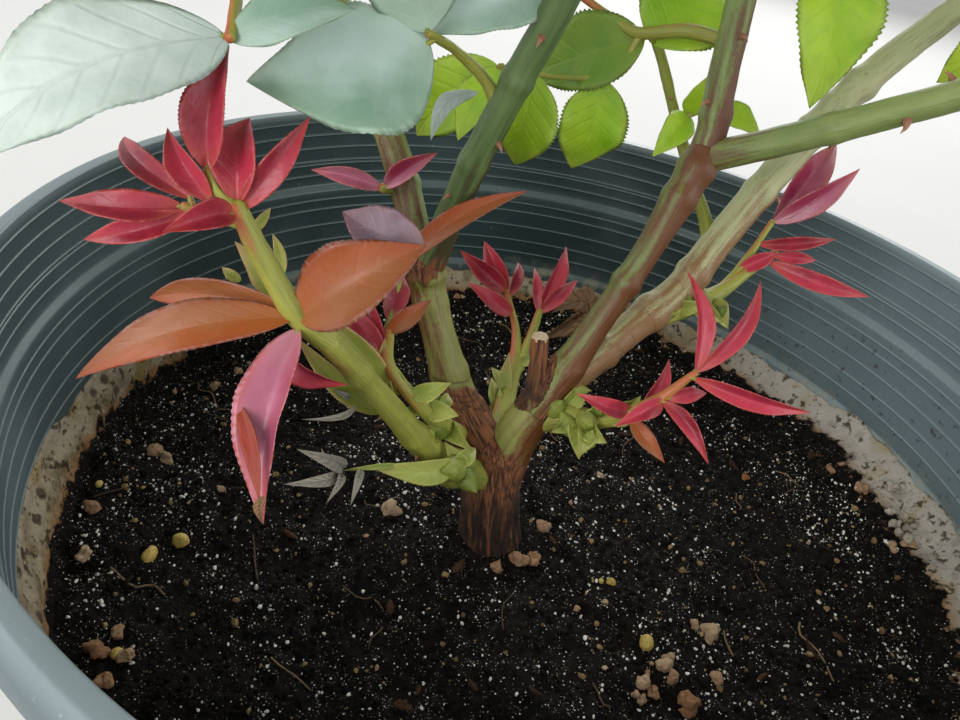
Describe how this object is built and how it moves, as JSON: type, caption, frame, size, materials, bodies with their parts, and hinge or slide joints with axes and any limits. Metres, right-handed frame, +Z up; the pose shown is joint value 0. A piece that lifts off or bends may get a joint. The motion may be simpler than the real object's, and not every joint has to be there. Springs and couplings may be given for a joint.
{
  "type": "potted rose bush",
  "caption": "Young rose bush with a short forked woody trunk, green canes, red young shoots and an airy leafy crown, rooted in dark soil in a round tapering pot.",
  "frame": {"origin": "centre of the pot's flat underside", "axes": "+Z up along the pot's axis, +X to the right and -Y the near side, as the plant is seen in its picture"},
  "size_m": [0.5011, 0.4582, 0.6139],
  "materials": {
    "pot_plastic": "moulded dark green-black plastic, half gloss",
    "potting_soil": "moist peat potting mix with perlite",
    "bark": "fissured brown bark",
    "green_cane": "smooth green rose cane with brown streaks and thorns",
    "pale_cane": "pale ripened cane with brown nodes",
    "young_stem": "soft yellow-green young stem",
    "red_leaf": "soft crimson young leaf",
    "copper_leaf": "soft copper-orange young leaf",
    "green_leaf": "serrated green leaf",
    "crown_leaf": "serrated green leaf on thin twigs"
  },
  "bodies": {
    "root": {"pot": "pot_plastic", "soil": "potting_soil", "trunk": "bark", "left_cane": "green_cane", "right_cane": "green_cane", "pale_cane": "pale_cane", "left_back_cane": "green_cane", "front_cane": "green_cane", "upright_cane": "green_cane", "outer_cane": "green_cane", "pale_side_shoot": "green_cane", "low_left_bough": "green_cane", "low_back_left_bough": "green_cane", "low_front_left_bough": "green_cane", "low_front_right_bough": "green_cane", "low_right_bough": "pale_cane", "low_back_right_bough": "pale_cane", "high_left_bough": "green_cane", "high_right_bough": "green_cane", "left_young_shoot": "young_stem", "left_young_leaves": "copper_leaf", "left_small_shoot": "red_leaf", "cane_shoot": "red_leaf", "middle_young_shoot": "red_leaf", "right_low_shoot": "red_leaf", "right_high_shoot": "red_leaf", "front_leaf": "green_leaf", "hanging_front_leaf": "green_leaf", "back_leaves": "green_leaf", "side_leaves": "green_leaf", "right_leaf": "green_leaf", "far_right_leaf": "green_leaf", "left_mass": "crown_leaf", "front_mass": "crown_leaf", "top_mass": "crown_leaf", "right_mass": "crown_leaf", "back_right_mass": "crown_leaf", "back_mass": "crown_leaf", "low_left_mass": "crown_leaf", "low_back_left_mass": "crown_leaf", "low_front_left_mass": "crown_leaf", "low_front_right_mass": "crown_leaf", "low_right_mass": "crown_leaf", "low_back_right_mass": "crown_leaf", "high_left_mass": "crown_leaf", "high_right_mass": "crown_leaf"}
  },
  "joints": []
}
